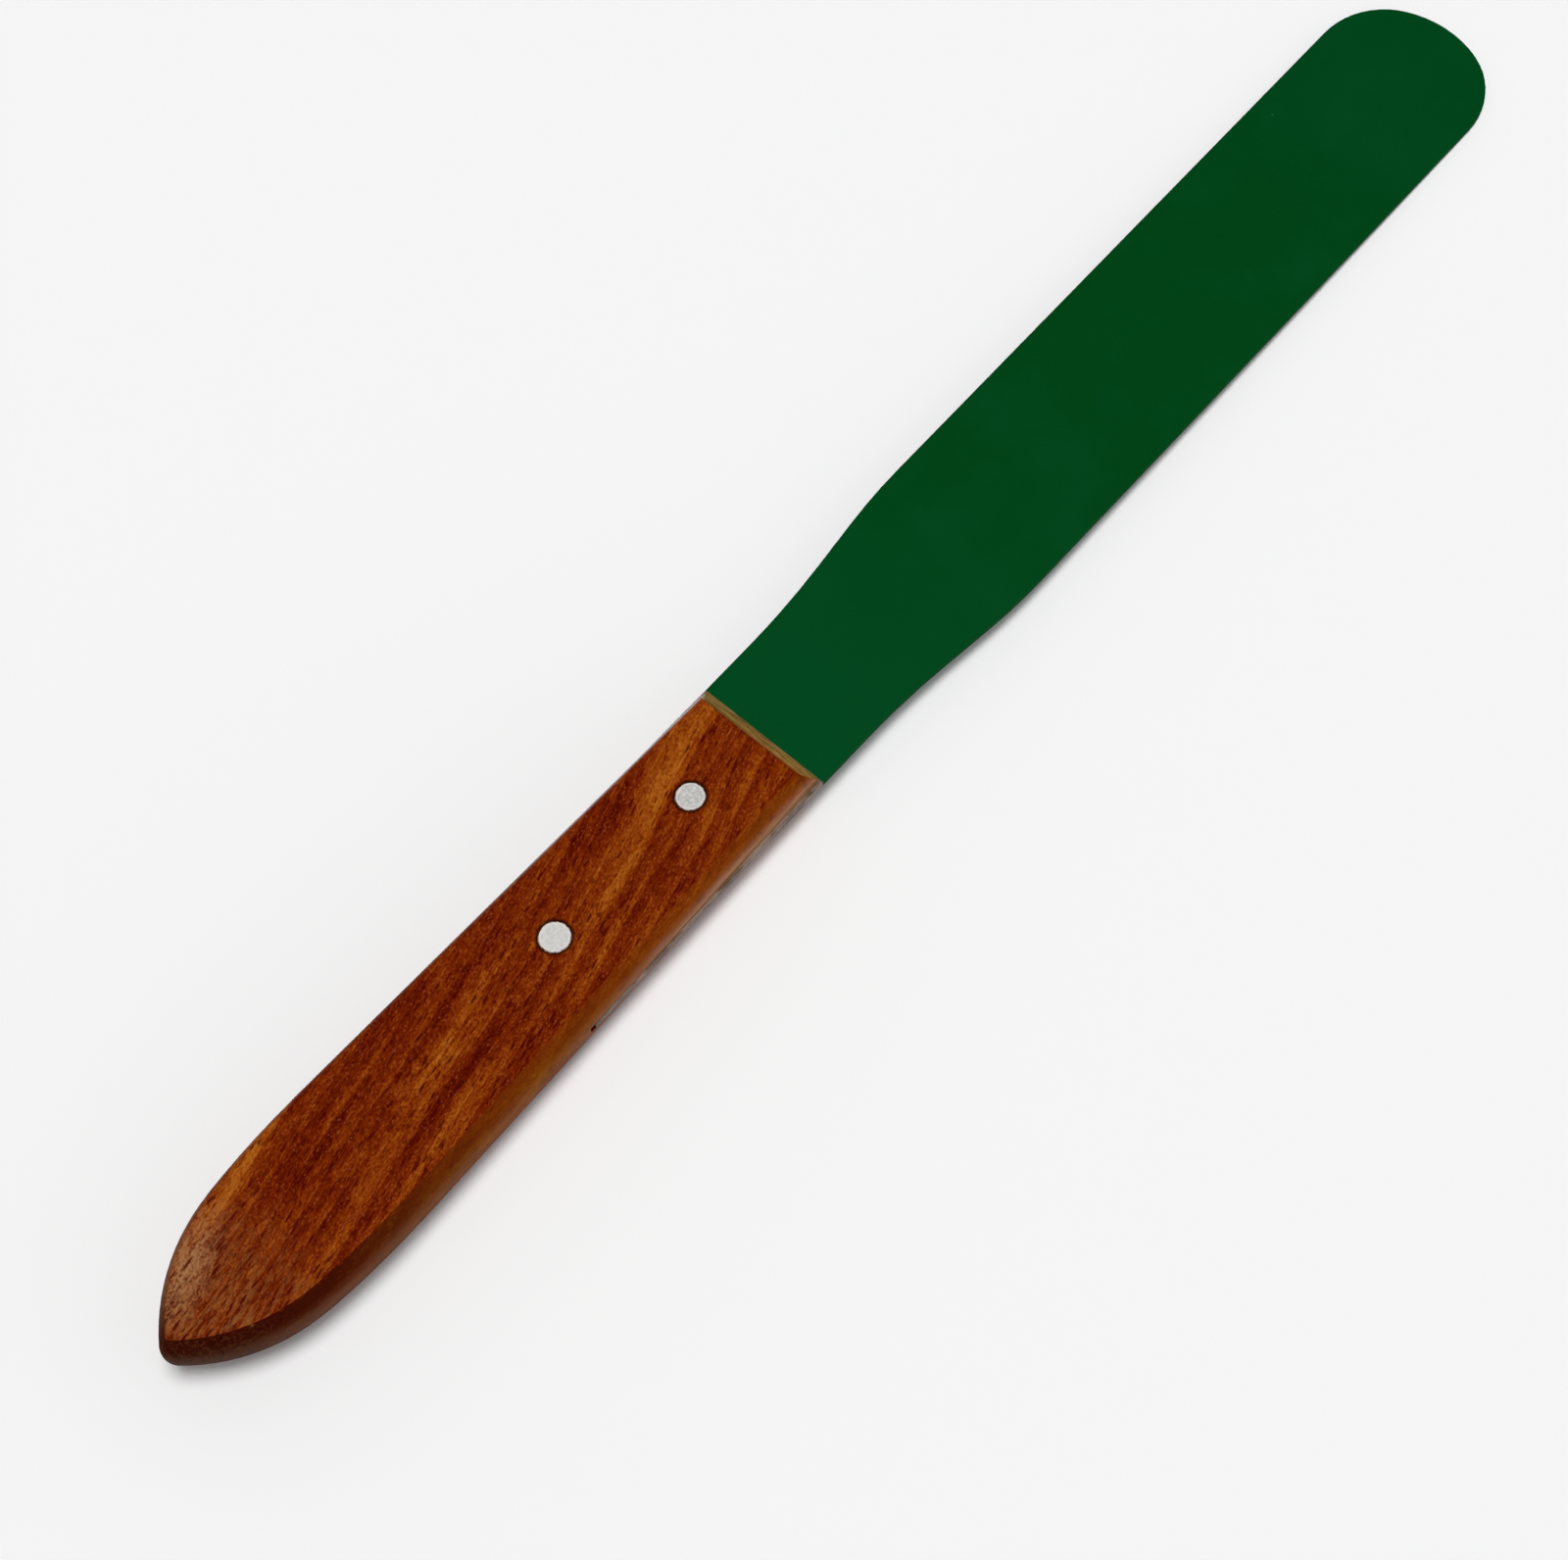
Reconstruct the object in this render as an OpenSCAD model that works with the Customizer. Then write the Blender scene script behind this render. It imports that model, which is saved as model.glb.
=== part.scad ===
// Laboratory spatula: a flat coated steel blade with a round end, let into a saw slot in a one-piece
// wooden handle and held there by two solid rivets. Millimetres. +X runs from the handle to the tip of
// the blade, +Z is up, and the handle's lower face lies on z = 0.

/* [Blade] */
// Free length of the blade, from the handle's front to the tip
blade_length = 127; // [75:1:200]
// Full width of the working part of the blade
blade_width = 22.6; // [20:0.1:28]
// Width of the neck where the blade leaves the handle
neck_width = 18.36; // [17.5:0.02:19]
// Straight length of the neck before the shoulders begin to open
neck_length = 7.5; // [3:0.5:15]
// Angle of the shoulders' straight flank to the blade's axis
shoulder_angle = 6.8; // [6:0.1:12]
// Radius of the hollow curve from the neck into the shoulder
shoulder_hollow_radius = 110; // [40:5:150]
// Radius of the crowned curve from the shoulder into the full width
shoulder_crown_radius = 75; // [30:5:100]
// Radius of the shallow curve across the very end of the blade
tip_radius = 14; // [12:0.5:30]
// Radius of the two corners of the tip
tip_corner_radius = 9.5; // [5:0.25:10]
// Sheet thickness of the tang and neck
root_thickness = 0.9; // [0.7:0.05:1.4]
// Thickness that the blade is ground down to at its tip
tip_thickness = 0.5; // [0.3:0.05:0.7]

/* [Tang] */
// Length of the tang inside the handle
tang_length = 38.8; // [38:0.2:44]
// How far the saw slot runs on behind the tang
slot_extra_length = 0.8; // [0.3:0.1:2]
// Total play between the tang and the slot, over the thickness
slot_play = 0.16; // [0.04:0.02:0.3]

/* [Handle] */
// Length of the handle from its front to the end of its nose
handle_length = 98; // [85:1:130]
// Thickness of the handle between its two flat faces
handle_thickness = 8; // [6.5:0.5:10]
// Width of the wood at the front, at mid thickness
handle_front_width = 17.36; // [16:0.02:18]
// Greatest width of the handle, at mid thickness
handle_belly_width = 20.26; // [19.5:0.02:24]
// Plan radius of the belly, where the sides stop spreading
belly_radius = 110; // [60:5:200]
// Angle the belly turns through before the butt curve takes over
belly_turn = 6.1; // [3:0.1:9]
// Plan radius of the two curves that meet at the butt
butt_radius = 23.8; // [20:0.2:30]
// How far the barrelled side wall stands out past the edge of the flat face
wall_bulge = 1.3; // [0.6:0.1:1.5]
// Plan radius that the flat face keeps at the nose
nose_flat_radius = 0.4; // [0.35:0.05:1.5]
// How far the eased long edges reach into the flat face
edge_easing = 0.15; // [0.05:0.05:0.15]
// How far the front bevel runs back along each flat face
front_bevel = 2.1; // [1:0.1:4]

/* [Rivets] */
// Diameter of the front rivet
front_rivet_diameter = 3.6; // [3:0.1:4.5]
// Diameter of the rear rivet
rear_rivet_diameter = 3.9; // [3:0.1:4.5]
// Distance of the front rivet behind the handle's front
front_rivet_setback = 12.1; // [9:0.1:15]
// Distance of the rear rivet behind the handle's front
rear_rivet_setback = 34.8; // [26:0.1:35]
// Gap left all round a rivet in its hole
rivet_play = 0.02; // [0.01:0.01:0.08]
// Chamfer on the ends of the rivets
rivet_chamfer = 0.15; // [0.05:0.05:0.3]

/* [Hidden] */
$fn = 96;
half_h = handle_thickness / 2;
slot_h = root_thickness + slot_play;
slot_length = tang_length + slot_extra_length;

// Row frame: the middle of the whole length at x = 0, the lower flat face on z = 0.
mid_x = (blade_length - handle_length) / 2;

// The barrelled wall is one arc through both face edges, and a slope halfway between the arc and the
// flat face eases each edge. Every side of the handle has the same wall.
wall_radius = (half_h * half_h + wall_bulge * wall_bulge) / (2 * wall_bulge);
easing_slope = tan((90 - asin(half_h / wall_radius)) / 2);
part_step = 0.03; // each curve of the plan starts this far inside the one before it
far = 3 * handle_length;

// Plan of the handle's left side at mid thickness: a straight side that runs into the belly circle,
// then the butt circle and the nose circle, each one touching the one before it from inside.
belly_y = handle_belly_width / 2 - belly_radius + part_step;
butt_y = belly_y + (belly_radius - butt_radius) * cos(belly_turn);
nose_radius = wall_bulge + nose_flat_radius;
nose_x = nose_radius - 3 * part_step - handle_length;
butt_x = nose_x + sqrt(pow(butt_radius - nose_radius, 2) - butt_y * butt_y);
belly_x = butt_x + (belly_radius - butt_radius) * sin(belly_turn);
butt_end = acos(-butt_y / (butt_radius - nose_radius)); // where the butt curve meets the nose
front_dy = handle_front_width / 2 - belly_y;
taper = atan2(-belly_x, front_dy)
      - acos(belly_radius / sqrt(belly_x * belly_x + front_dy * front_dy));
side_x = belly_x + belly_radius * sin(taper); // where the straight side meets the belly
side_y = belly_y + belly_radius * cos(taper);

// Shoulder of the blade, worked back from the full width to the neck.
half_w = blade_width / 2;
half_n = neck_width / 2;
crown_rise = shoulder_crown_radius * (1 - cos(shoulder_angle));
hollow_rise = shoulder_hollow_radius * (1 - cos(shoulder_angle));
flank_rise = max(0.05, half_w - half_n - crown_rise - hollow_rise);
neck_y = half_w - crown_rise - flank_rise - hollow_rise;
hollow_x1 = neck_length + shoulder_hollow_radius * sin(shoulder_angle);
flank_x1 = hollow_x1 + flank_rise / tan(shoulder_angle);
shoulder_x = flank_x1 + shoulder_crown_radius * sin(shoulder_angle);

// Tip of the blade: two corner circles inside the end circle and inside the straight edges.
corner_y = half_w - tip_corner_radius;
end_x = blade_length - tip_radius;
corner_x = end_x + sqrt(pow(tip_radius - tip_corner_radius, 2) - corner_y * corner_y);
end_half = corner_y * tip_radius / (tip_radius - tip_corner_radius);

module place() translate([-mid_x, 0, half_h]) children();

// Half width of the wood's straight side at a distance x in front of the handle's front (x < 0 behind).
function side_half(x) = handle_front_width / 2 - x * tan(taper);

// ---------------------------------------------------------------- blade

// The hollow part of both shoulders: a strip as wide as its far end, less a circle from either side.
module shoulder_hollow() {
    top = neck_y + hollow_rise;
    difference() {
        translate([neck_length, -top]) square([hollow_x1 - neck_length, 2 * top]);
        for (s = [-1, 1]) translate([neck_length, s * (neck_y + shoulder_hollow_radius)])
            circle(r = shoulder_hollow_radius);
    }
}

// The straight flanks.
module shoulder_flank() {
    a = neck_y + hollow_rise;
    b = a + flank_rise;
    polygon([[hollow_x1, -a], [flank_x1, -b], [flank_x1, b], [hollow_x1, a]]);
}

// The crowned part: what a large circle for each edge leaves of a strip as wide as the blade.
module shoulder_crown() {
    intersection() {
        translate([flank_x1, -blade_width]) square([shoulder_x - flank_x1, 2 * blade_width]);
        translate([shoulder_x, half_w - shoulder_crown_radius]) circle(r = shoulder_crown_radius);
        translate([shoulder_x, shoulder_crown_radius - half_w]) circle(r = shoulder_crown_radius);
    }
}

// The rounded end.
module tip() {
    translate([corner_x - 2, -corner_y]) square([2, 2 * corner_y]);
    for (s = [-1, 1]) translate([corner_x, s * corner_y]) circle(r = tip_corner_radius);
    intersection() {
        translate([end_x, 0]) circle(r = tip_radius);
        translate([corner_x - 2, -end_half]) square([tip_radius + 2, 2 * end_half]);
    }
}

module blade_plan() {
    rear = side_half(-tang_length);
    polygon([[-tang_length, -rear], [0, -neck_y], [neck_length, -neck_y],
             [neck_length, neck_y], [0, neck_y], [-tang_length, rear]]);
    shoulder_hollow();
    shoulder_flank();
    shoulder_crown();
    translate([shoulder_x, -half_w]) square([corner_x - shoulder_x, blade_width]);
    tip();
}

// Seen from the side the sheet keeps its thickness through the tang and neck, then is ground to a
// long even taper that ends at the tip.
module blade_side() {
    r = root_thickness / 2;
    t = tip_thickness / 2;
    polygon([[-tang_length - 1, -r], [neck_length, -r], [blade_length, -t],
             [blade_length + 1, -t], [blade_length + 1, t],
             [blade_length, t], [neck_length, r], [-tang_length - 1, r]]);
}

module rivet_hole(setback, diameter) {
    translate([-setback, 0, -half_h - 1])
        cylinder(h = handle_thickness + 2, r = diameter / 2 + rivet_play);
}

module blade() {
    color([0.02, 0.27, 0.13]) place() difference() {
        intersection() {
            translate([0, 0, -root_thickness]) linear_extrude(2 * root_thickness) blade_plan();
            rotate([90, 0, 0]) translate([0, 0, -blade_width])
                linear_extrude(2 * blade_width) blade_side();
        }
        rivet_hole(front_rivet_setback, front_rivet_diameter);
        rivet_hole(rear_rivet_setback, rear_rivet_diameter);
    }
}

// ---------------------------------------------------------------- handle

// Section through what a side wall encloses. The barrel arc's outermost point is at x = reach, and
// the section runs inwards from there over the given depth.
module wall_section(reach, depth) {
    above = 0.05;
    flat_x = reach - wall_bulge - edge_easing;
    inner_x = flat_x - above / easing_slope;
    outer_z = half_h - easing_slope * (reach + 1 - flat_x);
    intersection() {
        polygon([[reach - depth, -half_h - above], [inner_x, -half_h - above],
                 [reach + 1, -outer_z], [reach + 1, outer_z],
                 [inner_x, half_h + above], [reach - depth, half_h + above]]);
        union() {
            translate([reach - wall_radius, 0]) circle(r = wall_radius);
            translate([reach - depth - 1, -half_h - 1])
                square([max(0.5, depth + 1 - wall_radius), handle_thickness + 2]);
        }
    }
}

// Everything in front of a line through (x, y), which runs straight across when the angle is 0.
module ahead_of(x, y, angle) {
    translate([x, y, 0]) rotate([0, 0, angle]) translate([0, -far, -half_h - 1])
        cube([far, 2 * far, handle_thickness + 2]);
}

// The bounds of the wood. The straight side bounds it all along. The belly, the butt and the nose
// each bound it behind the line where they take over, and leave free all that is in front of it.
module side_bound() {
    translate([side_x, side_y, 0]) rotate([0, 0, -taper]) translate([-far / 2, 0, 0])
        rotate([90, 0, 90]) linear_extrude(far) wall_section(0, far / 3);
}

module belly_bound() {
    translate([belly_x, belly_y, 0]) rotate([0, 0, 78 - taper]) rotate_extrude(angle = 90)
        wall_section(belly_radius - part_step, belly_radius / 2);
    ahead_of(belly_x, belly_y, -taper);
}

module butt_bound() {
    reach = butt_radius - 2 * part_step;
    translate([butt_x, butt_y, 0]) rotate_extrude() wall_section(reach, reach);
    ahead_of(butt_x, butt_y, belly_turn);
}

module nose_bound() {
    reach = nose_radius - 3 * part_step;
    translate([nose_x, 0, 0]) rotate_extrude() wall_section(reach, reach);
    for (s = [-1, 1]) ahead_of(nose_x, 0, s * butt_end);
}

// The slab of wood as its left side, belly and butt leave it.
module left_half() {
    intersection() {
        translate([-handle_length - 1, -handle_belly_width, -half_h])
            cube([handle_length + 2, 2 * handle_belly_width, handle_thickness]);
        side_bound();
        belly_bound();
        butt_bound();
    }
}

module wood() {
    intersection() {
        left_half();
        mirror([0, 1, 0]) left_half();
        nose_bound();
    }
}

// What is cut away in front: a slope on each face, down to the mouth of the slot.
module front_cut() {
    up = half_h + 1;
    back = -front_bevel * (up - slot_h / 2) / (half_h - slot_h / 2);
    rotate([90, 0, 0]) translate([0, 0, -handle_belly_width]) linear_extrude(2 * handle_belly_width)
        polygon([[0, -slot_h / 2], [back, -up], [8, -up], [8, up], [back, up], [0, slot_h / 2]]);
}

module handle() {
    color([0.45, 0.2, 0.06]) place() difference() {
        wood();
        front_cut();
        translate([-slot_length, -handle_belly_width, -slot_h / 2])
            cube([slot_length + 8, 2 * handle_belly_width, slot_h]);
        rivet_hole(front_rivet_setback, front_rivet_diameter);
        rivet_hole(rear_rivet_setback, rear_rivet_diameter);
    }
}

// ---------------------------------------------------------------- rivets

// Plain pin, as long as the handle is thick, with its ends ground flush.
module rivet(setback, diameter) {
    r = diameter / 2;
    c = rivet_chamfer;
    translate([-setback, 0, 0]) rotate_extrude()
        polygon([[0, -half_h], [r - c, -half_h], [r, c - half_h],
                 [r, half_h - c], [r - c, half_h], [0, half_h]]);
}

module front_rivet() {
    color([0.78, 0.78, 0.76]) place() rivet(front_rivet_setback, front_rivet_diameter);
}

module rear_rivet() {
    color([0.78, 0.78, 0.76]) place() rivet(rear_rivet_setback, rear_rivet_diameter);
}

blade();
handle();
front_rivet();
rear_rivet();
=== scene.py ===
import bpy
import math
from mathutils import Matrix, Vector
from types import SimpleNamespace


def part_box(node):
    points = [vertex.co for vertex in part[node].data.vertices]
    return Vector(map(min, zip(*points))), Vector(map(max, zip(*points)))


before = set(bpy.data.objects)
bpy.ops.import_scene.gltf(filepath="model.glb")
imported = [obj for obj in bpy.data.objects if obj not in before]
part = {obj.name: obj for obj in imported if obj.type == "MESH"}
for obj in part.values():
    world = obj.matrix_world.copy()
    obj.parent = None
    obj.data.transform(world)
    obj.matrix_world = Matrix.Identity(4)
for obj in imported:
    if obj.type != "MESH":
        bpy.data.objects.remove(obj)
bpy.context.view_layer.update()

# ---------------------------------------------------------------- blade
# One strip of spring steel, punched out, ground thinner towards its round tip and then given a baked
# green non-stick coat. The coat stops at the handle: the tang's edges show as bare grey steel there.

mm = 0.001
blade_low, blade_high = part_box("blade")
handle_low, handle_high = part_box("handle")
blade_tip = blade_high.x
wood_front = handle_high.x

green_by_handle = (0.0007, 0.064, 0.0150, 1)
green_halfway = (0.0004, 0.055, 0.0074, 1)
green_at_tip = (0.0004, 0.057, 0.0110, 1)
green_cloud = (0.0010, 0.062, 0.0125, 1)
green_grain = (0.0020, 0.080, 0.0200, 1)
pale_dust = (0.050, 0.160, 0.090, 1)
thin_coat = (0.075, 0.060, 0.045, 1)
bare_steel = (0.210, 0.150, 0.118, 1)
stained_steel = (0.070, 0.043, 0.030, 1)


def connect(tree, node, inputs):
    """Gives a node its inputs, each of them a number, a colour or another node's output."""
    for slot, value in inputs.items():
        if isinstance(value, bpy.types.NodeSocket):
            tree.links.new(value, node.inputs[slot])
        else:
            node.inputs[slot].default_value = value


def shader_node(tree, kind, inputs=None, out=0, **settings):
    """Adds a node and returns one of its outputs."""
    made = tree.nodes.new("ShaderNode" + kind)
    for name, value in settings.items():
        setattr(made, name, value)
    connect(tree, made, inputs or {})
    return made.outputs[out]


def maths(tree, operation, a, b=0.0):
    return shader_node(tree, "Math", {0: a, 1: b}, operation=operation)


def times(tree, first, *others):
    """All the values multiplied together."""
    for other in others:
        first = maths(tree, "MULTIPLY", first, other)
    return first


def vectors(tree, operation, a, b):
    return shader_node(tree, "VectorMath", {0: a, 1: b}, operation=operation)


def step(tree, value, start, end, low=0.0, high=1.0):
    """Runs smoothly from low to high while value runs from start to end."""
    return shader_node(tree, "MapRange", {"Value": value, "From Min": start, "From Max": end,
                                          "To Min": low, "To Max": high},
                       interpolation_type="SMOOTHSTEP")


def tint(tree, amount, first, second):
    """The first colour where amount is 0, the second where it is 1."""
    # A Mix node takes colours in inputs 6 and 7 and gives a colour in output 2.
    return shader_node(tree, "Mix", {"Factor": amount, 6: first, 7: second}, out=2, data_type="RGBA")


def millimetres(tree):
    """The place on the object in millimetres."""
    place = shader_node(tree, "TexCoord", out="Object")
    return shader_node(tree, "Mapping", {"Vector": place, "Scale": (1 / mm, 1 / mm, 1 / mm)})


def noise(tree, place, scale, detail=2.0, roughness=0.5, stretch=(1, 1, 1), out=0):
    """Cloudy noise with about scale blotches a millimetre, drawn out along the axes by stretch."""
    drawn = vectors(tree, "MULTIPLY", place, tuple(1 / s for s in stretch))
    return shader_node(tree, "TexNoise", {"Vector": drawn, "Scale": scale, "Detail": detail,
                                          "Roughness": roughness}, out=out)


def new_finish(name):
    """An empty material with its shader, ready for values and links."""
    material = bpy.data.materials.new(name)
    material.use_nodes = True
    return material, material.node_tree, material.node_tree.nodes["Principled BSDF"]


def dress(node_name, material):
    """Gives a piece its finish."""
    for material_slot in part[node_name].material_slots:
        material_slot.material = material


def coated_steel():
    material, tree, shader = new_finish("coated_steel")
    place = millimetres(tree)
    x = shader_node(tree, "SeparateXYZ", {"Vector": place}, out="X")
    root = wood_front / mm
    tip = blade_tip / mm

    # The coat: almost one green, a little bluer towards the handle and the tip, with faint clouds,
    # a fine grain and a few specks of dust.
    green = tint(tree, step(tree, x, root, root + 45), green_by_handle, green_halfway)
    green = tint(tree, step(tree, x, tip - 45, tip - 10), green, green_at_tip)
    clouds = noise(tree, place, 0.09, detail=3, roughness=0.6)
    green = tint(tree, step(tree, clouds, 0.35, 0.75), green, green_cloud)
    grain = noise(tree, place, 5.0, detail=2, roughness=0.5)
    green = tint(tree, step(tree, grain, 0.45, 0.75, 0, 0.16), green, green_grain)
    dust = shader_node(tree, "TexVoronoi", {"Vector": place, "Scale": 0.11, "Randomness": 1.0})
    green = tint(tree, step(tree, dust, 0.016, 0.009, 0, 0.55), green, pale_dust)

    # Handling has rubbed the coat thin in patches along the edge of the tip.
    normal = shader_node(tree, "NewGeometry", out="Normal")
    normal_z = shader_node(tree, "SeparateXYZ", {"Vector": normal}, out="Z")
    on_edge = step(tree, maths(tree, "ABSOLUTE", normal_z), 0.8, 0.4)
    at_tip = step(tree, x, tip - 12, tip - 3, 0.0, 0.70)
    patchy = step(tree, noise(tree, place, 1.6, detail=3, roughness=0.7), 0.40, 0.62)
    colour = tint(tree, times(tree, at_tip, patchy, on_edge), green, thin_coat)

    # The bare tang, with brown stains drawn out along it.
    bare = step(tree, x, root + 0.15, root - 0.15)
    stain_and_painted_light = noise(tree, place, 0.8, detail=4, roughness=0.7, stretch=(3, 1, 1))
    steel = tint(tree, step(tree, stain_and_painted_light, 0.35, 0.65), bare_steel, stained_steel)
    colour = tint(tree, bare, colour, steel)

    # Satin, with the faint dimples of a sprayed coat.
    dimples = noise(tree, place, 2.2, detail=3, roughness=0.6)
    bump = shader_node(tree, "Bump", {"Strength": 0.25, "Distance": 0.02 * mm, "Height": dimples})
    connect(tree, shader, {
        "Base Color": colour,
        "Metallic": times(tree, bare, 0.85),
        "Roughness": step(tree, noise(tree, place, 0.5, detail=3), 0.3, 0.7, 0.40, 0.46),
        "IOR": 1.36,
        "Specular IOR Level": 0.0,
        "Coat Weight": 0.10,
        "Coat IOR": 1.2,
        "Coat Roughness": 0.30,
        "Normal": bump,
    })
    return material


dress("blade", coated_steel())

# ---------------------------------------------------------------- handle
# One piece of reddish hardwood, sawn at a slant to its grain, shaped with barrelled sides and a boat
# end, stained and thinly varnished. The bevels in front were cut afterwards and show raw wood.

bevel_reach = 2.05 * mm  # from the front of the wood back to where the flat face starts
face_front = wood_front - bevel_reach
rivet_seats = [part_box("front_rivet"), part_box("rear_rivet")]
grain_slope = 0.13  # sideways run of the grain for each millimetre forwards, at the boat end
grain_bend = 0.0019  # how much steeper it gets with each millimetre from there to the front
middle_tone = 0.41  # of the faces, between their darkest tone at 0 and their palest at 1

# The faces' stain, and the walls' stain with painted shade, each from its darkest to its palest tone.
face_tones = (
    (0.058, 0.0016, 0.0002),
    (0.098, 0.0058, 0.0004),
    (0.142, 0.0128, 0.0007),
    (0.190, 0.0245, 0.0014),
    (0.255, 0.0475, 0.0028),
    (0.325, 0.0780, 0.0052),
    (0.410, 0.1200, 0.0110),
)
# The walls' tones carry painted shade: the darker ones go towards the boat end and on the right.
wall_stain_and_shade_tones = (
    (0.045, 0.0070, 0.0010),
    (0.125, 0.0260, 0.0012),
    (0.163, 0.0335, 0.0013),
    (0.225, 0.0480, 0.0018),
)

# Places on the handle are in millimetres: the boat end is at X -112.5, the rivets are at -49.3 and
# -26.6, and the front of the wood is at -14.5. Its left is +Y.

# Soft ovals of paler and darker growth on the faces: the middle of each, its reach along and across
# in millimetres, its turn in radians, and how much paler it is.
growth = (
    ((-64, 5.2), (24, 4.0), 0.14, -0.20),
    ((-87, 3.0), (8, 4.5), 0.10, -0.20),
    ((-88, -4.5), (16, 4.0), 0.10, 0.08),
    ((-20, -3.0), (14, 7.0), 0.20, 0.08),
    ((-69, -7.4), (11, 3.0), 0.10, 0.24),
    ((-95, 7.2), (12, 3.2), 0.26, 0.24),
    ((-98.5, 3.6), (6, 1.8), 0.30, -0.15),
    ((-69, 0.2), (18, 2.4), 0.18, 0.13),
    ((-68, -3.6), (14, 2.0), 0.18, -0.12),
    ((-37, 5.6), (12, 2.8), 0.10, -0.14),
    ((-53, 2.6), (13, 2.4), 0.28, -0.20),
    ((-62, 5.8), (14, 2.2), 0.27, 0.20),
    ((-48, -5.8), (8, 1.8), 0.20, 0.15),
    ((-85, -6.0), (13, 1.9), 0.20, -0.15),
    ((-88, 8.2), (8, 1.8), 0.10, 0.16),
)

brown_fibre = (0.300, 0.1180, 0.0320, 1)
dark_fibre = (0.085, 0.0110, 0.0014, 1)
broken_fibre_and_glint = (0.480, 0.1200, 0.0400, 1)
filled_pit = (0.062, 0.0024, 0.0003, 1)
filled_pore = (0.074, 0.0018, 0.0012, 1)
sanding_mark = (0.075, 0.0130, 0.0020, 1)
rubbed_face_and_sheen = (0.400, 0.1950, 0.0800, 1)
floor_reflection_on_wall = (0.370, 0.1850, 0.0780, 1)
olive_streak = (0.270, 0.1000, 0.0060, 1)
dark_streak = (0.100, 0.0120, 0.0004, 1)
dark_mottle = (0.085, 0.0105, 0.0006, 1)
soaked_and_shaded_end_grain = (0.040, 0.0090, 0.0018, 1)
painted_edge_shade = (0.034, 0.0014, 0.0002, 1)
pale_blotch = (0.105, 0.0360, 0.0095, 1)
open_end = (0.010, 0.0012, 0.0003, 1)
grime = (0.022, 0.0030, 0.0010, 1)
raw_dark = (0.170, 0.0820, 0.0180, 1)
raw_pale = (0.400, 0.2250, 0.0620, 1)
raw_stained = (0.190, 0.0550, 0.0060, 1)


def plus(tree, a, b):
    return maths(tree, "ADD", a, b)


def minus(tree, a, b):
    return maths(tree, "SUBTRACT", a, b)


def magnitude(tree, vector):
    return shader_node(tree, "VectorMath", {0: vector}, out="Value", operation="LENGTH")


def wander(tree, place, scale, roughness, reach, stretch=(1, 1, 1)):
    """The place, swayed across the grain by about half of reach to either side."""
    sway = noise(tree, place, scale, detail=2, roughness=roughness, stretch=stretch, out="Color")
    sway = vectors(tree, "SUBTRACT", sway, (0.5, 0.5, 0.5))
    sway = vectors(tree, "MULTIPLY", sway, (0, reach, reach))
    return vectors(tree, "ADD", place, sway)


def dashes(tree, place, spacing, length, width, share):
    """Short dashes along the grain, one for about each spacing of wood, of which a share is there."""
    cells = vectors(tree, "MULTIPLY", place, (1 / spacing[0], 1 / spacing[1], 1 / spacing[1]))
    cell_inputs = {"Vector": cells, "Scale": 1.0, "Randomness": 1.0}
    centre = shader_node(tree, "TexVoronoi", cell_inputs, out="Position")
    chance = shader_node(tree, "TexVoronoi", cell_inputs, out="Color")
    chance = shader_node(tree, "SeparateColor", {"Color": chance}, out="Red")
    away = vectors(tree, "SUBTRACT", cells, centre)
    slimness = (spacing[0] / length, spacing[1] / width, spacing[1] / width)
    away = magnitude(tree, vectors(tree, "MULTIPLY", away, slimness))
    there = maths(tree, "LESS_THAN", chance, share)
    return times(tree, step(tree, away, 0.55, 0.30), there)


def wood_tones(tree, value, tones):
    """Colours for value from 0 to 1, evenly spaced from the darkest to the palest tone."""
    ramp = tree.nodes.new("ShaderNodeValToRGB")
    stops = ramp.color_ramp.elements
    for k in range(1, len(tones) - 1):
        stops.new(k / (len(tones) - 1))
    for stop, tone in zip(stops, tones):
        stop.color = (*tone, 1)
    connect(tree, ramp, {"Fac": value})
    return ramp.outputs["Color"]


def patch(tree, place, middle, reach, turn):
    """A soft oval on the face, 1 in its middle and 0 at its reach along and across."""
    moved = vectors(tree, "SUBTRACT", place, (*middle, 0))
    turned = shader_node(tree, "Mapping", {"Vector": moved, "Rotation": (0, 0, -turn)})
    scaled = vectors(tree, "MULTIPLY", turned, (1 / reach[0], 1 / reach[1], 0))
    return step(tree, magnitude(tree, scaled), 1.0, 0.1)


def beyond_rivet(tree, place, seat):
    """How far in millimetres a point lies outside a rivet, seen from above; negative on the rivet."""
    low, high = seat
    middle = (low + high) / 2 / mm
    radius = (high.x - low.x) / 2 / mm
    off = vectors(tree, "SUBTRACT", place, (middle.x, middle.y, 0))
    off = vectors(tree, "MULTIPLY", off, (1, 1, 0))
    return minus(tree, magnitude(tree, off), radius)


def grain_lines(tree, place, x):
    """The place with the slant, the bend and the waver of the grain taken out, so that it runs along X."""
    from_end = minus(tree, x, handle_low.x / mm)
    squared = maths(tree, "POWER", maths(tree, "MAXIMUM", from_end, 0.0), 2.0)
    sideways = plus(tree, times(tree, from_end, grain_slope), times(tree, squared, grain_bend / 2))
    straight = vectors(tree, "SUBTRACT", place, shader_node(tree, "CombineXYZ", {"Y": sideways}))
    return wander(tree, straight, scale=0.05, roughness=0.5, reach=3.0, stretch=(2, 1, 1))


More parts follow.
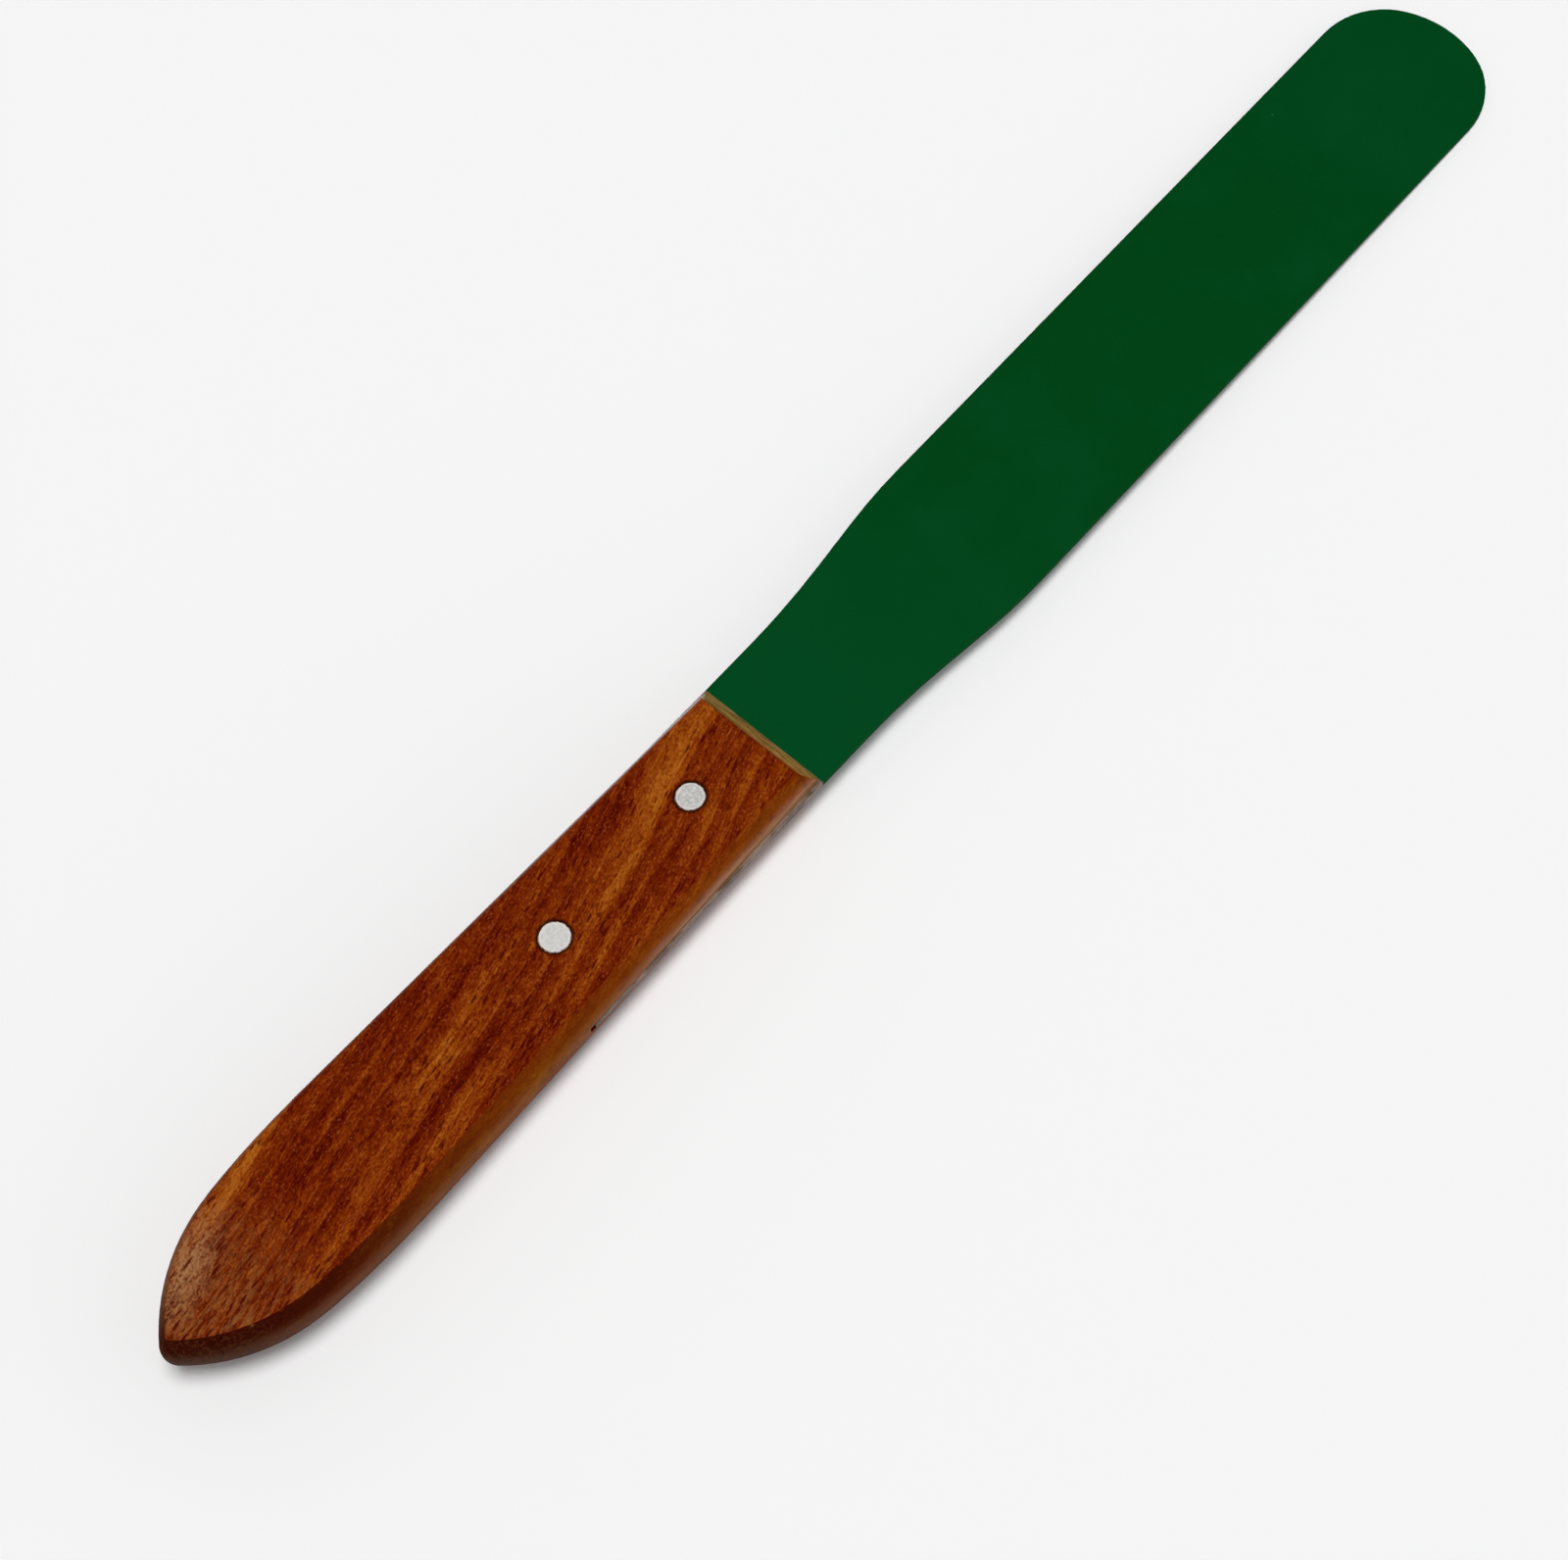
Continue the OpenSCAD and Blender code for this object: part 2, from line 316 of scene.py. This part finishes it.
def wood_surface(tree):
    """What the finish is worked out from at each point: where it lies, and the noises of the wood."""
    at = SimpleNamespace()
    at.place = millimetres(tree)
    at.x, at.y, at.z = (shader_node(tree, "SeparateXYZ", {"Vector": at.place}, out=axis) for axis in "XYZ")
    normal = shader_node(tree, "NewGeometry", out="Normal")
    at.nx, at.nz = (shader_node(tree, "SeparateXYZ", {"Vector": normal}, out=axis) for axis in "XZ")
    at.along = grain_lines(tree, at.place, at.x)
    at.fibres = noise(tree, at.along, 3.4, detail=2, roughness=0.6, stretch=(5, 1, 1))
    at.mottle = noise(tree, at.along, 1.2, detail=4, roughness=0.8, stretch=(1.6, 1, 1))
    at.specks = noise(tree, at.along, 3.6, detail=1, roughness=0.5, stretch=(1.3, 1, 1))
    at.faded = noise(tree, at.place, 0.7, detail=4, roughness=0.65, stretch=(5, 1, 1))
    at.ragged = minus(tree, noise(tree, at.place, 1.5, detail=3, roughness=0.6), 0.5)
    at.wobble = times(tree, at.ragged, 0.8)

    # On the walls all round, with a ragged start at the eased edges.
    turned_away = minus(tree, 1.0, maths(tree, "ABSOLUTE", at.nz))
    turned_away = times(tree, turned_away, plus(tree, 1.0, times(tree, at.ragged, 3.5)))
    at.on_wall = step(tree, turned_away, 0.015, 0.10)
    at.on_left = step(tree, at.y, -2, 6)
    middle_z = (handle_low.z + handle_high.z) / 2 / mm
    at.off_middle = maths(tree, "ABSOLUTE", minus(tree, at.z, middle_z))

    # How much the walls' even stain and painted shade cover the figure. The face's grain is carried over
    # the edges.
    at.carried_over = plus(tree, at.off_middle, times(tree, minus(tree, at.faded, 0.5), 5.0))
    by_side = step(tree, at.y, 2, -2, 0.35, step(tree, at.x, -30, -60, 0.70, 0.76))
    by_edge = step(tree, at.carried_over, 4.4, 2.0, step(tree, at.x, -62, -42, 0.85, 0.40), 1.0)
    at.covered = times(tree, at.on_wall, by_side, by_edge)
    at.uncovered = minus(tree, 1.0, at.covered)
    return at


def face_stain(tree, at):
    """Faint bands along the grain, finer streaks and fibres inside them, and a dense mottle."""
    bands = noise(tree, at.along, 0.24, detail=2, roughness=0.5, stretch=(8, 1, 1.4))
    streaks = noise(tree, at.along, 0.8, detail=3, roughness=0.6, stretch=(6, 1, 1))

    # Each year's growth gets paler towards the right and ends in a sharp line.
    across = shader_node(tree, "SeparateXYZ", {"Vector": at.along}, out="Y")
    years = plus(tree, times(tree, across, 0.36), times(tree, bands, 1.3))
    years = minus(tree, 1.0, maths(tree, "FRACT", years))

    # The layers, and how much each of them counts. Bands, fibres and mottle are calmer in front.
    calmer = step(tree, at.x, -62, -28, 1.0, 0.78)
    layers = (
        (bands, step(tree, at.x, -66, -30, 1.0, 0.35)),
        (streaks, 0.75),
        (at.fibres, times(tree, calmer, 0.72)),
        (at.specks, 0.75),
        (at.mottle, times(tree, calmer, 0.70)),
        (years, 0.22),
    )
    tone = middle_tone
    for layer, weight in layers:
        tone = plus(tree, tone, times(tree, minus(tree, layer, 0.5), weight))

    # A paler stripe runs from the front left corner past the front rivet.
    stripe = times(tree, step(tree, across, -16.5, -15.9), step(tree, across, -11.2, -13.8))
    stripe = times(tree, stripe, step(tree, at.x, -80, -18, 0, 0.34))
    tone = plus(tree, tone, stripe)
    for middle, reach, turn, paler in growth:
        tone = plus(tree, tone, times(tree, patch(tree, at.place, middle, reach, turn), paler))
    return wood_tones(tree, tone, face_tones)


def browned_boat_end(tree, at, stain_and_painted_light):
    """The boat end is browner and coarser, and its left half is paler: rubbed varnish with a painted sheen
    of light on it.
    """
    boat_end = step(tree, at.x, -90, -106)
    coarse = noise(tree, at.along, 1.8, detail=4, roughness=0.8, stretch=(4, 1, 1))
    pale_parts = step(tree, coarse, 0.42, 0.62, 0.0, 0.60)
    stain_and_painted_light = tint(tree, times(tree, boat_end, pale_parts), stain_and_painted_light, brown_fibre)
    dark_parts = step(tree, coarse, 0.47, 0.34, 0.0, 0.60)
    stain_and_painted_light = tint(tree, times(tree, boat_end, dark_parts), stain_and_painted_light, dark_fibre)
    # The pale left half: rubbed varnish and a painted sheen.
    left_half = patch(tree, at.place, middle=(-104, 4.0), reach=(9.5, 3.8), turn=0.45)
    uneven = times(tree, plus(tree, coarse, at.specks), 0.5)
    rubbed_and_sheen = times(tree, left_half, step(tree, uneven, 0.36, 0.62, 0.1, 0.85))
    return tint(tree, rubbed_and_sheen, stain_and_painted_light, rubbed_face_and_sheen)


def sanding_marks(tree, at, stain_and_painted_light):
    """Sanding has combed the middle of the boat end across its grain."""
    comb = noise(tree, at.place, 3.0, detail=2, roughness=0.6, stretch=(0.35, 1.6, 1))
    middle = patch(tree, at.place, middle=(-103, 0.5), reach=(9, 5.5), turn=0.2)
    combed = times(tree, step(tree, comb, 0.54, 0.64, 0, 0.6), middle)
    return tint(tree, times(tree, combed, at.uncovered), stain_and_painted_light, sanding_mark)


def wall_stain_and_painted_light(tree, at, stain_and_painted_light):
    """The walls took the stain more evenly. Their tone runs from amber in front to ever darker towards the
    boat end, and the right is darker than the left: painted shade.
    """
    # Painted shade: darker towards the boat end, and paler on the left wall.
    wall_light = maths(tree, "MAXIMUM", step(tree, at.x, -108, -22), times(tree, at.on_left, 0.5))
    wall = wood_tones(tree, wall_light, wall_stain_and_shade_tones)
    streaked = times(tree, step(tree, at.faded, 0.42, 0.64), step(tree, at.x, -100, -60, 0, 0.62))
    mid_height = step(tree, at.off_middle, 3.8, 1.4, step(tree, at.x, -60, -28, 0.0, 1.0), 1.0)
    wall = tint(tree, times(tree, streaked, mid_height), wall, olive_streak)
    wall = tint(tree, step(tree, at.faded, 0.46, 0.30, 0, 0.6), wall, dark_streak)
    wall = tint(tree, step(tree, at.mottle, 0.50, 0.36, 0, 0.45), wall, dark_mottle)
    stain_and_painted_light = tint(tree, at.covered, stain_and_painted_light, wall)

    # A pale strip beside the slot is a painted reflection of the pale floor, most of all in front on the
    # right.
    floor_reflection = times(tree, step(tree, at.carried_over, 2.7, 0.2), step(tree, at.x, -60, -16, 0.15, 0.80))
    on_right = step(tree, at.y, 2, -2, 0.4, 1.0)
    return tint(tree, times(tree, floor_reflection, times(tree, at.on_wall, on_right)), stain_and_painted_light, floor_reflection_on_wall)


def dark_end_grain_and_shade(tree, at, stain_and_painted_light):
    """End grain runs out on the walls of the boat end and drank more stain; these walls, which face back,
    also carry painted shade, most on the right.
    """
    # Soaked end grain together with painted shade: walls facing back are darker, least on the left.
    facing_back = step(tree, at.nx, -0.08, -0.60, 0, 0.75)
    end_grain_and_shade = times(tree, facing_back, minus(tree, 1.0, times(tree, at.on_left, 0.7)))
    stain_and_painted_light = tint(tree, end_grain_and_shade, stain_and_painted_light, soaked_and_shaded_end_grain)

    # Painted shade under the edges of the right wall, towards the boat end.
    under_edge = times(tree, step(tree, at.off_middle, 0.8, 3.3), step(tree, at.x, -68, -104, 0, 0.90))
    on_right_wall = times(tree, at.on_wall, step(tree, at.y, 6, -2))
    stain_and_painted_light = tint(tree, times(tree, under_edge, on_right_wall), stain_and_painted_light, painted_edge_shade)

    # Blotches, and the open ends of the pores.
    cut_ends = times(tree, end_grain_and_shade, at.on_wall)
    blotchy = step(tree, noise(tree, at.place, 2.0, detail=4, roughness=0.8), 0.46, 0.64, 0, 0.75)
    stain_and_painted_light = tint(tree, times(tree, cut_ends, blotchy), stain_and_painted_light, pale_blotch)
    open_ends = dashes(tree, at.place, spacing=(0.75, 0.75), length=0.55, width=0.42, share=0.50)
    return tint(tree, times(tree, cut_ends, open_ends), stain_and_painted_light, open_end)


def grimy_rings(tree, at, stain_and_painted_light):
    """Dark rings where the rivets were closed, and a dark ragged line behind the bevel."""
    front = face_front / mm
    ringed = step(tree, plus(tree, at.x, at.wobble), front - 0.30, front - 0.02, 0, 0.50)
    for seat in rivet_seats:
        off = plus(tree, beyond_rivet(tree, at.place, seat), times(tree, at.wobble, 0.5))
        ringed = maths(tree, "MAXIMUM", ringed, step(tree, off, 0.50, 0.10))
    return tint(tree, times(tree, ringed, at.uncovered, 0.85), stain_and_painted_light, grime)


def raw_bevel(tree, at, stain_and_painted_light, raw):
    """Raw tan wood on the bevel, a little stained along its upper edge."""
    front = wood_front / mm
    scratches = noise(tree, at.place, 1.6, detail=4, roughness=0.7, stretch=(1, 4, 1))
    tan = tint(tree, step(tree, scratches, 0.35, 0.70), raw_dark, raw_pale)
    upper = step(tree, plus(tree, at.x, at.wobble), front - 1.3, front - 2.1, 0, 0.75)
    tan = tint(tree, upper, tan, raw_stained)
    return tint(tree, raw, stain_and_painted_light, tan)


def varnished_wood():
    material, tree, shader = new_finish("varnished_wood")
    at = wood_surface(tree)
    stain_and_painted_light = browned_boat_end(tree, at, face_stain(tree, at))

    # Pale flecks, both broken fibre and painted glints off tiny bumps in the varnish, and pits and pores
    # filled with dark stain.
    loose = wander(tree, at.along, scale=1.1, roughness=0.6, reach=0.3)
    flecks_and_glints = dashes(tree, loose, spacing=(0.55, 0.40), length=0.42, width=0.22, share=0.70)
    pits = dashes(tree, loose, spacing=(1.2, 0.50), length=0.95, width=0.28, share=0.60)
    fewer_in_front = step(tree, at.x, -70, -30, 0.60, 0.40)
    pores = dashes(tree, loose, spacing=(1.9, 0.76), length=1.7, width=0.38, share=fewer_in_front)
    stain_and_painted_light = tint(tree, times(tree, flecks_and_glints, 0.23, at.uncovered), stain_and_painted_light, broken_fibre_and_glint)
    stain_and_painted_light = tint(tree, times(tree, pits, 0.60, at.uncovered), stain_and_painted_light, filled_pit)
    stain_and_painted_light = tint(tree, times(tree, pores, 0.88, at.uncovered), stain_and_painted_light, filled_pore)

    raw = step(tree, at.nx, 0.30, 0.60)
    stain_and_painted_light = sanding_marks(tree, at, stain_and_painted_light)
    stain_and_painted_light = wall_stain_and_painted_light(tree, at, stain_and_painted_light)
    stain_and_painted_light = dark_end_grain_and_shade(tree, at, stain_and_painted_light)
    stain_and_painted_light = grimy_rings(tree, at, stain_and_painted_light)
    stain_and_painted_light = raw_bevel(tree, at, stain_and_painted_light, raw)

    # Thin varnish: worn off the faces and the edges, still glossy all over the left wall and halfway up
    # the right one, most of all in front. The raw bevels are rough.
    gloss = maths(tree, "MAXIMUM", step(tree, at.off_middle, 3.2, 0.2), at.on_left)
    gloss = times(tree, gloss, step(tree, at.x, -62, -26, 0.12, 1.0), at.on_wall)
    roughness = step(tree, at.mottle, 0.3, 0.7, 0.42, 0.60)
    relief = minus(tree, times(tree, at.fibres, 0.35), times(tree, pores, 0.6))
    relief = minus(tree, relief, times(tree, pits, 0.5))
    relief = plus(tree, relief, times(tree, at.mottle, 0.5))
    relief = times(tree, relief, at.uncovered)
    bump = shader_node(tree, "Bump", {"Strength": 0.8, "Distance": 0.06 * mm, "Height": relief})
    connect(tree, shader, {
        "Base Color": stain_and_painted_light,
        "Roughness": maths(tree, "MAXIMUM", roughness, times(tree, raw, 0.8)),
        "Specular IOR Level": 0.0,
        "Coat Weight": maths(tree, "MAXIMUM", gloss, 0.02),
        "Coat Roughness": 0.24,
        "Normal": bump,
    })
    return material


dress("handle", varnished_wood())

# ---------------------------------------------------------------- rivets
# Two solid aluminium pins, closed by hand and ground flush with both faces of the wood, which left
# them dull, with a fine mottle and a little wood stain round it, and a painted highlight on the rim.

dull_metal = (0.345, 0.342, 0.325, 1)
bright_metal = (0.740, 0.735, 0.705, 1)
dark_nick = (0.300, 0.290, 0.270, 1)
pale_rim_highlight = (0.800, 0.705, 0.670, 1)
crept_stain = (0.030, 0.008, 0.004, 1)


def rivet_metal():
    material, tree, shader = new_finish("rivet_metal")
    place = millimetres(tree)
    x = shader_node(tree, "SeparateXYZ", {"Vector": place}, out="X")

    # The rear rivet is the brighter and the smoother of the two.
    cloudy = noise(tree, place, 2.4, detail=4, roughness=0.7)
    mottled = step(tree, cloudy, 0.28, 0.72, 0, step(tree, x, -32, -44, 0.78, 0.50))
    shade = plus(tree, mottled, step(tree, x, -32, -44, 0, 0.36))
    colour = tint(tree, shade, dull_metal, bright_metal)
    nicks = dashes(tree, place, spacing=(0.9, 0.9), length=0.35, width=0.16, share=0.30)
    colour = tint(tree, times(tree, nicks, 0.5), colour, dark_nick)

    # The rim is a painted highlight, a little paler and pinker, and wood stain has crept over it in ragged
    # spots.
    front_rim, rear_rim = (beyond_rivet(tree, place, seat) for seat in rivet_seats)
    rim = maths(tree, "MINIMUM", front_rim, rear_rim)
    colour = tint(tree, step(tree, rim, -0.50, -0.15, 0, 0.55), colour, pale_rim_highlight)
    ragged = minus(tree, noise(tree, place, 2.0, detail=3, roughness=0.6), 0.5)
    crept = step(tree, plus(tree, rim, times(tree, ragged, 0.8)), -0.09, 0.03)
    colour = tint(tree, times(tree, crept, 0.9), colour, crept_stain)
    bump = shader_node(tree, "Bump", {"Strength": 0.5, "Distance": 0.03 * mm, "Height": cloudy})
    connect(tree, shader, {
        "Base Color": colour,
        "Metallic": 0.35,
        "Roughness": step(tree, cloudy, 0.3, 0.7, 0.50, 0.65),
        "Normal": bump,
    })
    return material


aluminium = rivet_metal()
dress("front_rivet", aluminium)
dress("rear_rivet", aluminium)

# ---------------------------------------------------------------- floor
# A pale board. The spatula rests on it with the tip of its blade and the lower front edge of its
# handle, so the board is level with that line and the boat end stands a little clear of it.

tip_thickness = 0.5 * mm
blade_middle = (blade_low.z + blade_high.z) / 2
board_slope = (blade_middle - tip_thickness / 2) / (blade_tip - face_front)
board_reach = 6.0
board_grey = 0.90
board_glow = 0.06  # seen by the camera and in reflections only, so it lights nothing

bpy.ops.mesh.primitive_plane_add(size=2 * board_reach)
floor = bpy.context.object
floor.name = "floor"
tilt = Matrix.Translation((face_front, 0, 0)) @ Matrix.Rotation(-math.atan(board_slope), 4, "Y")
floor.data.transform(tilt)

pale_board, board_tree, board_shader = new_finish("pale_board")
seen = shader_node(board_tree, "LightPath", out="Is Camera Ray")
for way_seen in ("Is Glossy Ray", "Is Transmission Ray"):
    seen = maths(board_tree, "MAXIMUM", seen, shader_node(board_tree, "LightPath", out=way_seen))
connect(board_tree, board_shader, {
    "Base Color": (board_grey, board_grey, board_grey, 1),
    "Roughness": 0.9,
    "Specular IOR Level": 0.0,
    "Emission Color": (1, 1, 1, 1),
    "Emission Strength": times(board_tree, seen, board_glow),
})
floor.data.materials.append(pale_board)

# ---------------------------------------------------------------- light
# A wide soft lamp almost straight overhead, inside a pale room that is brightest near the floor and
# towards the tip and the right, where its window is.

lamp = bpy.data.objects.new("soft_lamp", bpy.data.lights.new("soft_lamp", "SUN"))
bpy.context.scene.collection.objects.link(lamp)
lamp.data.energy = 2.15
lamp.data.angle = math.radians(24)
lamp.rotation_euler = Vector((0.0, -0.08, 1)).to_track_quat("Z", "Y").to_euler()

room = bpy.data.worlds.new("room")
bpy.context.scene.world = room
room.use_nodes = True
room_tree = room.node_tree
overhead = 0.15  # brightness straight up
near_floor = 0.75  # how much brighter the room is level with the floor
way = shader_node(room_tree, "TexCoord", out="Generated")
height = shader_node(room_tree, "SeparateXYZ", {"Vector": way}, out="Z")
low_down = shader_node(room_tree, "MapRange", {"Value": height, "From Min": 0.0, "From Max": 1.0,
                                               "To Min": 1.0, "To Max": 0.0})
brightness = times(room_tree, maths(room_tree, "POWER", low_down, 2.0), near_floor)
brightness = plus(room_tree, brightness, overhead)
towards_window = shader_node(room_tree, "VectorMath", {0: way, 1: (0.6, -0.3, 0)}, out="Value",
                             operation="DOT_PRODUCT")
brightness = times(room_tree, brightness, plus(room_tree, towards_window, 1.0))
connect(room_tree, room_tree.nodes["Background"], {"Color": (1, 1, 1, 1), "Strength": brightness})

# ---------------------------------------------------------------- camera
# A long lens nearly overhead, leaning a little, which looks along the spatula from its boat end at
# the lower left to its tip at the upper right.

image_width = 1600  # pixels
focal_length = 3949.12  # in the same pixels
distance = 448.99 * mm  # from the lens to the front of the wood, along the line of sight
shift_right = -2.3198 * mm  # of that point from the middle of the view
shift_down = -4.9145 * mm
lean = math.radians(-25.03)
lean_about = math.radians(-10.83)
spin = math.radians(48.96)

camera = bpy.data.objects.new("camera", bpy.data.cameras.new("camera"))
bpy.context.scene.collection.objects.link(camera)
bpy.context.scene.camera = camera
camera.data.sensor_width = 36
camera.data.lens = focal_length * camera.data.sensor_width / image_width
camera.data.clip_start = 0.01
camera.data.clip_end = 50

# The lens looks along its own +Z with +Y down; the last flip turns that to the camera's own axes.
flip = Matrix.Diagonal((1, -1, -1, 1))
leant = Matrix.Rotation(lean_about, 4, "Z") @ Matrix.Rotation(lean, 4, "X")
leant = leant @ Matrix.Rotation(-lean_about, 4, "Z")
to_lens = Matrix.Translation((shift_right, shift_down, distance)) @ leant @ flip
to_lens = to_lens @ Matrix.Rotation(spin, 4, "Z") @ Matrix.Translation((-wood_front, 0, -blade_middle))
camera.matrix_world = to_lens.inverted() @ flip

bpy.context.scene.view_settings.view_transform = "Standard"
